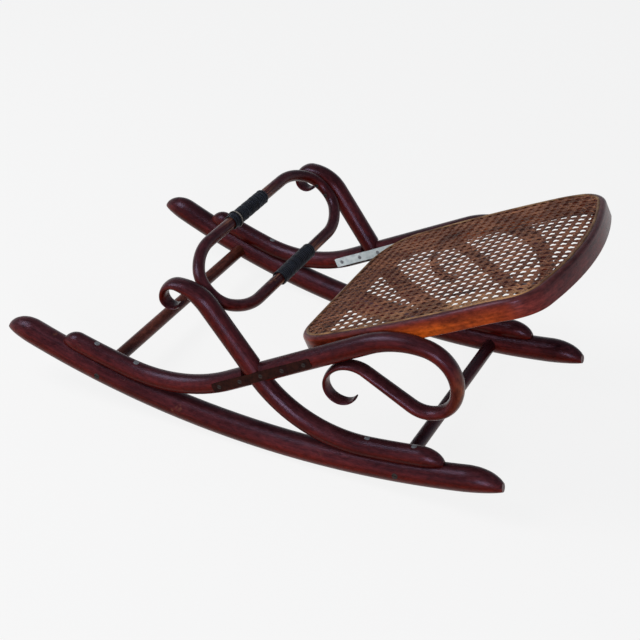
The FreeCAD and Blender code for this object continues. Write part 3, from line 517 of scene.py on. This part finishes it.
def straightened(points, line, square, shift):
    """Coordinates along a centre line and away from it, as if the rod had never been bent."""
    line = np.asarray(line)
    run = np.diff(line, axis=0)
    length = np.linalg.norm(run, axis=1)
    way = run / length[:, None]
    passed = np.concatenate([[0], np.cumsum(length)[:-1]])
    best = np.full(len(points), np.inf)
    values = np.zeros((len(points), 3))
    for start, onward, size, before in zip(line, way, length, passed):
        reach = (points - start) @ onward
        reach = np.clip(reach, 0, size)
        off = points - (start + reach[:, None] * onward)
        away = np.einsum("ij,ij->i", off, off)
        nearer = away < best
        best[nearer] = away[nearer]
        normal = np.cross(square, onward)
        values[nearer, 0] = before + reach[nearer] + shift
        values[nearer, 1] = off[nearer] @ normal
        values[nearer, 2] = off[nearer] @ square
    return values


def wooden_copy(node, line, square, shift, slot, material):
    """A merged, smooth copy of a wooden node whose grain follows its bends."""
    only(frame["nodes"][node])
    bpy.ops.object.duplicate()
    piece = bpy.context.object
    piece.name = node + "_wood"
    del piece["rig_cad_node"]
    bpy.ops.object.mode_set(mode="EDIT")
    bpy.ops.mesh.select_all(action="SELECT")
    bpy.ops.mesh.remove_doubles(threshold=MERGE_DISTANCE)
    bpy.ops.object.mode_set(mode="OBJECT")
    bpy.ops.mesh.customdata_custom_splitnormals_clear()
    bpy.ops.object.shade_smooth_by_angle(angle=WOOD_SMOOTH)
    set_grain(piece, straightened(points_of(piece), line, np.array(square), shift))
    finish_piece(piece, slot, material, node)
    return piece


# Centre lines of the bent rods, in the side frame's plane

def bent_line(x, z, heading, bends):
    """Points along a row of bends: each a radius and a turn in degrees, or 0 and a length."""
    points = [(x, 0, z)]
    for radius, amount in bends:
        steps = max(2, int(abs(amount) / 6) if radius else int(amount / 0.02))
        for step in range(steps):
            if radius:
                side = math.copysign(radius, amount)
                before = math.radians(heading + 90)
                heading += amount / steps
                after = math.radians(heading + 90)
                x += side * (math.cos(before) - math.cos(after))
                z += side * (math.sin(before) - math.sin(after))
            else:
                x += math.cos(math.radians(heading)) * amount / steps
                z += math.sin(math.radians(heading)) * amount / steps
            points.append((x, 0, z))
    return points


rocker_line = bent_line(-0.396, 0.0818, -18.02, [(1.28, 35.05)])
seat_scroll_line = bent_line(
    -0.304, 0.08292, -14.035,
    [
        (1.2535, 4.947), (0.228, 42.6), (0, 0.235), (0.132, -36.4), (0.057, -91), (0.042, -110.5),
        (0, 0.0758), (0.040, 100.5), (0.026, 99), (0.023, 64),
    ],
)
handle_scroll_line = bent_line(
    0.290, 0.08002, 193.382,
    [(1.253, -5.03), (0.198, -56), (0, 0.118), (0.067, 47), (0.0215, 101), (0.0147, 133)],
)
loop_bends = bent_line(
    -0.05, LOOP_HALF, 0,
    [
        (0, 0.1606), (0.090, -40), (0.041, -52.76), (0, 0.003), (0.041, -47.24), (0.090, -40), (0, 0.155),
    ],
)


def loop_line(side):
    """Centre line of one half of the handle loop, in the loop's own plane."""
    return [(-z, side * x, 0) for x, _, z in loop_bends]


for side, name in ((LEFT, "left"), (RIGHT, "right")):
    matrix = side_frame(side)
    square = matrix.to_3x3() @ Vector((0, 1, 0))
    for number, (part, line) in enumerate((
        ("rocker", rocker_line), ("seat_scroll", seat_scroll_line), ("handle_scroll", handle_scroll_line),
    )):
        shift = 3.0 * number + 1.3 * (side + 1)
        wood = turned_wood if part == "seat_scroll" else bentwood
        wooden_copy(name + "_" + part, placed(matrix, line), square, shift, "bentwood", wood)
    square = loop_frame.to_3x3() @ Vector((0, 0, 1))
    line = placed(loop_frame, loop_line(side))
    wooden_copy(name + "_loop_half", line, square, 11 + side, "bentwood", grip_wood)
for number, node in enumerate(("front_stretcher", "rear_stretcher")):
    low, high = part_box(node)
    middle = (low + high) / 2
    line = [(middle.x, low.y, middle.z), (middle.x, high.y, middle.z)]
    wood = brown_wood if node == "front_stretcher" else bentwood
    wooden_copy(node, line, (0, 0, 1), 15 + 2 * number, "bentwood", wood)


# Seat: its outline comes from the solids, seen square to the slope

into_seat = np.array(seat_frame.inverted())
out_of_seat = np.array(seat_frame)
ROLL_RADIUS = 0.480
FRONT_ROLL_START = 0.035
REAR_ROLL_START = 0.270
RIM_HALF = 0.008                           # half the rim's width
RIM_MIDDLE = -0.014                        # from the seat's top to the middle of the rim's height
OUTLINE_POINTS = 360


def seat_outline(node, inset):
    """The node's outline along the slope, as evenly spaced points, drawn in by some way."""
    points = points_of(frame["nodes"][node]) @ into_seat[:3, :3].T + into_seat[:3, 3]
    flat = sorted({(round(float(p[0]), 6), round(float(p[1]), 6)) for p in points})
    hull = []
    for run in (flat, flat[::-1]):
        chain = []
        for point in run:
            while len(chain) > 1 and np.cross(
                np.subtract(chain[-1], chain[-2]), np.subtract(point, chain[-1])
            ) <= 0:
                chain.pop()
            chain.append(point)
        hull += chain[:-1]
    hull = np.array(hull)
    closed = np.vstack([hull, hull[:1]])
    passed = np.concatenate([[0], np.cumsum(np.linalg.norm(np.diff(closed, axis=0), axis=1))])
    even = np.linspace(0, passed[-1], OUTLINE_POINTS + 1)[:-1]
    ring = np.stack([np.interp(even, passed, closed[:, axis]) for axis in (0, 1)], axis=1)
    way = np.roll(ring, -2, axis=0) - np.roll(ring, 2, axis=0)
    way /= np.linalg.norm(way, axis=1)[:, None]
    return ring + np.stack([-way[:, 1], way[:, 0]], axis=1) * inset


def on_seat(points):
    """Points given along the slope, across it and above the seat's rolled top, in the row's frame."""
    points = np.asarray(points, dtype=float)
    along = points[:, 0]
    past = np.maximum(along - REAR_ROLL_START, 0) - np.maximum(FRONT_ROLL_START - along, 0)
    turn = np.arcsin(past / ROLL_RADIUS)
    fall = ROLL_RADIUS * (1 - np.cos(turn))
    bent = np.stack(
        [along + points[:, 2] * np.sin(turn), points[:, 1], points[:, 2] * np.cos(turn) - fall], axis=1
    )
    return bent @ out_of_seat[:3, :3].T + out_of_seat[:3, 3]


seat_square = np.array(seat_frame.to_3x3() @ Vector((0, 0, 1)))
rim_ring = seat_outline("seat_rim", RIM_HALF)
rim_line = np.column_stack([rim_ring, np.full(len(rim_ring), RIM_MIDDLE)])
rim_line = on_seat(np.vstack([rim_line, rim_line[:1]]))
wooden_copy("seat_rim", rim_line, seat_square, 21, "rim_wood", rim_wood)

# Woven cane: pairs of strands along and across the seat, and single strands on both slants
CANE_ALONG = 0.0150                    # between the pairs that cross the seat
CANE_ACROSS = 0.01317                  # between the pairs that run along it
PAIR_HALF = 0.00148                    # from the middle of a pair to a strand's middle
STRAND_WIDTH = 0.0028
STRAND_THICKNESS = 0.00085
PLAIT = 0.00038                        # how far paired strands dip and rise where they cross
PLAIT_RUN = 0.0024                     # length in which they come back level
SLANT_PLAIT = 0.00095                  # how far slanting strands dip and rise
SLANT_STEPS = 8                        # points of a slanting strand in one cell of the weave
LENGTHWAYS_PAIRS = range(-14, 15)      # pairs and strands counted from the seat's origin; those that
CROSSWAYS_PAIRS = range(-3, 26)        # miss the panel are left out
SLANT_STRANDS = range(-42, 42)
SHORTEST_STRAND = 0.008
CANE_INSET = 0.0003                    # from the panel's edge to the strands' ends
STRAND_WANDER = 0.00016                # how far a strand strays from a straight line
CANE_MIDDLE = -0.0010                  # from the seat's top to the middle of the weave


def curve_piece(name, strands, closed=False):
    """A curve object of one straight-sided spline for each row of points."""
    data = bpy.data.curves.new(name, "CURVE")
    data.dimensions = "3D"
    data.twist_mode = "Z_UP"
    for points in strands:
        spline = data.splines.new("POLY")
        spline.points.add(len(points) - 1)
        spline.points.foreach_set("co", np.column_stack([points, np.ones(len(points))]).ravel())
        spline.use_cyclic_u = closed
    obj = bpy.data.objects.new(name, data)
    bpy.context.scene.collection.objects.link(obj)
    return obj


def profile(name, points):
    """A closed section for a strip: across it and above it."""
    obj = curve_piece(name, [[(x, y, 0) for x, y in points]], closed=True)
    obj.data.dimensions = "2D"
    obj.data.fill_mode = "NONE"
    return obj


def swept(name, strands, section, closed=False):
    """Strands with one section drawn along them, as a mesh still flat on the slope."""
    obj = curve_piece(name, strands, closed)
    obj.data.bevel_mode = "OBJECT"
    obj.data.bevel_object = section
    obj.data.use_fill_caps = not closed
    only(obj)
    bpy.ops.object.convert(target="MESH")
    return bpy.context.object


def inside(outline, start, way):
    """Where a line enters and leaves the outline, measured from its start."""
    ahead = np.roll(outline, -1, axis=0) - outline
    outward = np.stack([ahead[:, 1], -ahead[:, 0]], axis=1)
    gap = np.einsum("ij,ij->i", outline - start, outward)
    rate = outward @ way
    enter = (gap / rate)[rate < -1e-9]
    leave = (gap / rate)[rate > 1e-9]
    return enter.max(), leave.min()


def strand_rows(outline, start, way, period, marks, height):
    """One strand's points from edge to edge, at marks that repeat with the weave."""
    begin, end = inside(outline, np.array(start), np.array(way))
    if end - begin < SHORTEST_STRAND:
        return None
    first = math.floor(begin / period) - 1
    last = math.ceil(end / period) + 1
    places = [step * period + mark for step in range(first, last) for mark in marks]
    places = [begin] + [place for place in sorted(places) if begin < place < end] + [end]
    rows = []
    for place in places:
        wander = STRAND_WANDER * noise.noise(Vector((start[0] * 90, start[1] * 90, place * 22)))
        rows.append((
            start[0] + way[0] * place - way[1] * wander, start[1] + way[1] * place + way[0] * wander,
            CANE_MIDDLE + height(place),
        ))
    return rows


def plait(place, period, sign):
    """Height of a paired strand: down on one strand of the crossing pair and up over the other."""
    near = (place + period / 2) % period - period / 2
    share = max(0.0, 1 - max(0.0, abs(near) - PAIR_HALF) / PLAIT_RUN)
    return sign * PLAIT * share * (1 if near > 0 else -1)


edge = seat_outline("cane_panel", CANE_INSET)
pair_reach = (-PAIR_HALF - PLAIT_RUN, -PAIR_HALF, PAIR_HALF, PAIR_HALF + PLAIT_RUN)
along_marks = pair_reach + (CANE_ALONG / 2,)
across_marks = pair_reach + (CANE_ACROSS / 2,)
slant = Vector((CANE_ALONG, CANE_ACROSS))
slant_period = slant.length
slant_marks = [slant_period * step / SLANT_STEPS for step in range(SLANT_STEPS)]
lengthways, crossways, rising, falling = [], [], [], []
for step in LENGTHWAYS_PAIRS:
    middle = step * CANE_ACROSS
    for sign in (-1, 1):
        lengthways.append(strand_rows(
            edge, (0, middle + sign * PAIR_HALF), (1, 0), CANE_ALONG, along_marks,
            lambda place, sign=sign: plait(place, CANE_ALONG, -sign),
        ))
for step in CROSSWAYS_PAIRS:
    middle = step * CANE_ALONG
    for sign in (-1, 1):
        crossways.append(strand_rows(
            edge, (middle + sign * PAIR_HALF, 0), (0, 1), CANE_ACROSS, across_marks,
            lambda place, sign=sign: plait(place, CANE_ACROSS, sign),
        ))
for step in SLANT_STRANDS:
    middle = (step + 0.5) * CANE_ALONG
    for rows, sign in ((rising, 1), (falling, -1)):
        rows.append(strand_rows(
            edge, (middle, 0), (slant.x / slant_period, sign * slant.y / slant_period), slant_period,
            slant_marks,
            lambda place, sign=sign: sign * SLANT_PLAIT * math.cos(2 * math.pi * place / slant_period),
        ))

half = STRAND_WIDTH / 2
strand_section = profile("strand_section", [
    (-half, 0), (-half * 0.6, -STRAND_THICKNESS * 0.42), (half * 0.6, -STRAND_THICKNESS * 0.42),
    (half, 0), (half * 0.55, STRAND_THICKNESS * 0.48), (-half * 0.55, STRAND_THICKNESS * 0.48),
])
for name, rows, axis in (
    ("cane_lengthways", lengthways, 0), ("cane_crossways", crossways, 1),
    ("cane_rising", rising, 0), ("cane_falling", falling, 0),
):
    kept = [row for row in rows if row]
    piece = swept(name, kept, strand_section)
    flat = points_of(piece)
    set_grain(piece, np.stack([flat[:, axis], flat[:, 1 - axis], flat[:, 2]], axis=1))
    set_points(piece, on_seat(flat))
    finish_piece(piece, "cane", cane, "cane_panel")

# Binder: a split strip of cane laid over the edge of the weave
BINDER_INSET = 0.0025                  # from the solid binder's edge to the strip's middle
SEAT_MIDDLE = 0.17                     # about halfway along the slope, from the seat's origin

binder_ring = seat_outline("cane_binder", BINDER_INSET)
binder_section = profile("binder_section", [
    (0.0020, -0.0002), (0.0017, 0.0005), (0.0010, 0.0010), (0, 0.0012), (-0.0010, 0.0010),
    (-0.0017, 0.0005), (-0.0020, -0.0002),
])
binder_line = np.column_stack([binder_ring, np.zeros(len(binder_ring))])
binder = swept("cane_binder_strip", [binder_line], binder_section, closed=True)
flat = points_of(binder)
binder_turn = np.arctan2(flat[:, 1], flat[:, 0] - SEAT_MIDDLE)
set_grain(binder, np.stack([binder_turn * SEAT_MIDDLE, flat[:, 0] * 0.3, flat[:, 1] * 0.3], axis=1))
set_points(binder, on_seat(flat))
only(binder)
bpy.ops.object.shade_smooth_by_angle(angle=BINDER_SMOOTH)
finish_piece(binder, "binder_cane", binder_cane, "cane_binder")

# Whippings: flattened cord wound close over each scarf of the handle loop
ROD_HALF = 0.00885                     # half the thickness of the rod under the cord
CORD_HALF = 0.0010                     # half the cord's thickness, square to the rod
CORD_REACH = 0.48                      # half a turn's width, as a share of CORD_WIDTH
CORD_SWAY = 0.0008                     # how unevenly the turns lie along the rod
CORD_SWELL = 0.0005                    # and how unevenly they stand out from it
WHIPPING_HALF = 0.0492                 # half the length of a whipping
RING_START = -0.0360                   # start of the pale ring, from the front whipping's middle
TURN_STEPS = 28
CORD_SIDES = 10


def wound(name, x, start, end, lift, seed, material, node):
    """Cord wound round a long side of the loop between two places along it."""
    turns = round((end - start) / CORD_WIDTH)
    steps = turns * TURN_STEPS
    ring = np.linspace(0, 2 * np.pi, CORD_SIDES, endpoint=False)
    points, values = [], []
    for step in range(steps + 1):
        turn = step / TURN_STEPS
        angle = 2 * math.pi * turn
        sway = CORD_SWAY * noise.noise(Vector((turn * 0.37, seed, 0)))
        swell = CORD_SWELL * (1 + noise.noise(Vector((turn * 0.61, seed, 7))))
        radius = ROD_HALF + lift + CORD_HALF + swell
        over = start + (end - start) * step / steps + sway
        out = radius + CORD_HALF * np.cos(ring)
        points.append(np.stack([
            x + out * math.cos(angle), over + CORD_WIDTH * CORD_REACH * np.sin(ring), out * math.sin(angle),
        ], axis=1))
        values.append(np.stack([
            np.full(CORD_SIDES, angle * radius), CORD_WIDTH * np.sin(ring), np.full(CORD_SIDES, seed),
        ], axis=1))
    faces = [tuple(range(CORD_SIDES))[::-1], tuple(steps * CORD_SIDES + side for side in range(CORD_SIDES))]
    for step in range(steps):
        for side in range(CORD_SIDES):
            here = step * CORD_SIDES
            beside = (side + 1) % CORD_SIDES
            faces.append((here + side, here + beside, here + CORD_SIDES + beside, here + CORD_SIDES + side))
    data = bpy.data.meshes.new(name)
    data.from_pydata(placed(loop_frame, np.vstack(points)), [], faces)
    piece = bpy.data.objects.new(name, data)
    bpy.context.scene.collection.objects.link(piece)
    only(piece)
    bpy.ops.object.mode_set(mode="EDIT")
    bpy.ops.mesh.select_all(action="SELECT")
    bpy.ops.mesh.normals_make_consistent(inside=False)
    bpy.ops.object.mode_set(mode="OBJECT")
    bpy.ops.object.shade_smooth()
    set_grain(piece, np.vstack(values))
    finish_piece(piece, "cord", material, node)


for node, x, seed in (("front_whipping", -LOOP_HALF, 3.0), ("rear_whipping", LOOP_HALF, 8.0)):
    wound(node + "_cord", x, -WHIPPING_HALF, WHIPPING_HALF, 0.0, seed, black_cord, node)
wound(
    "front_whipping_ring", -LOOP_HALF, RING_START, RING_START + CORD_WIDTH, 2 * CORD_HALF, 5.0, pale_cord,
    "front_whipping",
)

# Plates and screws keep their solids
nodes = frame["nodes"]
dress(nodes["left_lap_plate"], rust)
dress(nodes["right_lap_plate"], zinc)
for node in ("right_plate_screws", "foot_screws"):
    dress(nodes[node], bright_screw)
for node in ("left_plate_screws", "stretcher_screws", "loop_screws", "seat_screws", "curl_screws"):
    dress(nodes[node], dark_screw)

for section in (strand_section, binder_section):
    bpy.data.objects.remove(section)

# Floor, light and camera
FLOOR_SIZE = 14.0
FLOOR_WHITE = 0.86                     # how much of the floor's look is plain white


def seen_rays(tree):
    """1 for rays that show the surface: to the camera, in a reflection or through a clear piece."""
    path = add(tree, "LightPath")
    first = add(tree, "Math", operation="MAXIMUM")
    every = add(tree, "Math", operation="MAXIMUM")
    join(
        tree, (path.outputs["Is Camera Ray"], first.inputs[0]),
        (path.outputs["Is Glossy Ray"], first.inputs[1]),
        (path.outputs["Is Transmission Ray"], every.inputs[1]), (first.outputs[0], every.inputs[0]),
    )
    return every.outputs[0]


bpy.ops.object.select_all(action="DESELECT")
bpy.ops.mesh.primitive_plane_add(size=FLOOR_SIZE, location=(0, 0, 0))
floor = bpy.context.object
floor.name = "floor"
floor_paint, tree, shader = new_material("pale_floor")
shader.inputs["Base Color"].default_value = (0.45, 0.44, 0.43, 1)
shader.inputs["Roughness"].default_value = 0.9
shader.inputs["Specular IOR Level"].default_value = 0.1
plain = add(tree, "Emission", Strength=1.0)
mix = add(tree, "MixShader")
white_share = scaled(tree, seen_rays(tree), 0.0, FLOOR_WHITE)
join(
    tree, (white_share, mix.inputs[0]), (shader.outputs[0], mix.inputs[1]),
    (plain.outputs[0], mix.inputs[2]), (mix.outputs[0], tree.nodes["Material Output"].inputs["Surface"]),
)
dress(floor, floor_paint)

world = bpy.data.worlds.new("studio")
bpy.context.scene.world = world
world.use_nodes = True
tree = world.node_tree
rise = part_of(tree, add(tree, "TexCoord").outputs["Generated"], 2)
walls = ramp(tree, [(0.0, (0.82, 0.84, 0.86)), (0.22, (0.52, 0.56, 0.61)), (0.5, (0.17, 0.19, 0.22))], rise)
join(tree, (walls, tree.nodes["Background"].inputs["Color"]))


def soft_light(name, place, target, size, power, colour):
    data = bpy.data.lights.new(name, "AREA")
    data.shape = "DISK"
    data.size = size
    data.energy = power
    data.color = colour
    lamp = bpy.data.objects.new(name, data)
    bpy.context.scene.collection.objects.link(lamp)
    lamp.location = place
    lamp.rotation_mode = "QUATERNION"
    lamp.rotation_quaternion = (Vector(target) - Vector(place)).to_track_quat("-Z", "Y")


soft_light("key_light", (-1.6, -0.9, 2.1), (0, 0, 0.1), 1.4, 52, (0.98, 0.98, 1.0))
soft_light("front_light", (1.0, -2.6, 1.0), (0, 0, 0.15), 0.8, 44, (0.94, 0.95, 1.0))

camera_data = bpy.data.cameras.new("camera")
camera_data.sensor_width = 36
camera_data.lens = 78.75
camera = bpy.data.objects.new("camera", camera_data)
bpy.context.scene.collection.objects.link(camera)
camera.location = (0.70794, -1.63078, 1.25522)
camera.rotation_euler = [math.radians(angle) for angle in (57.1471, -3.1172, 26.3441)]
bpy.context.scene.camera = camera
bpy.context.scene.view_settings.view_transform = "Standard"
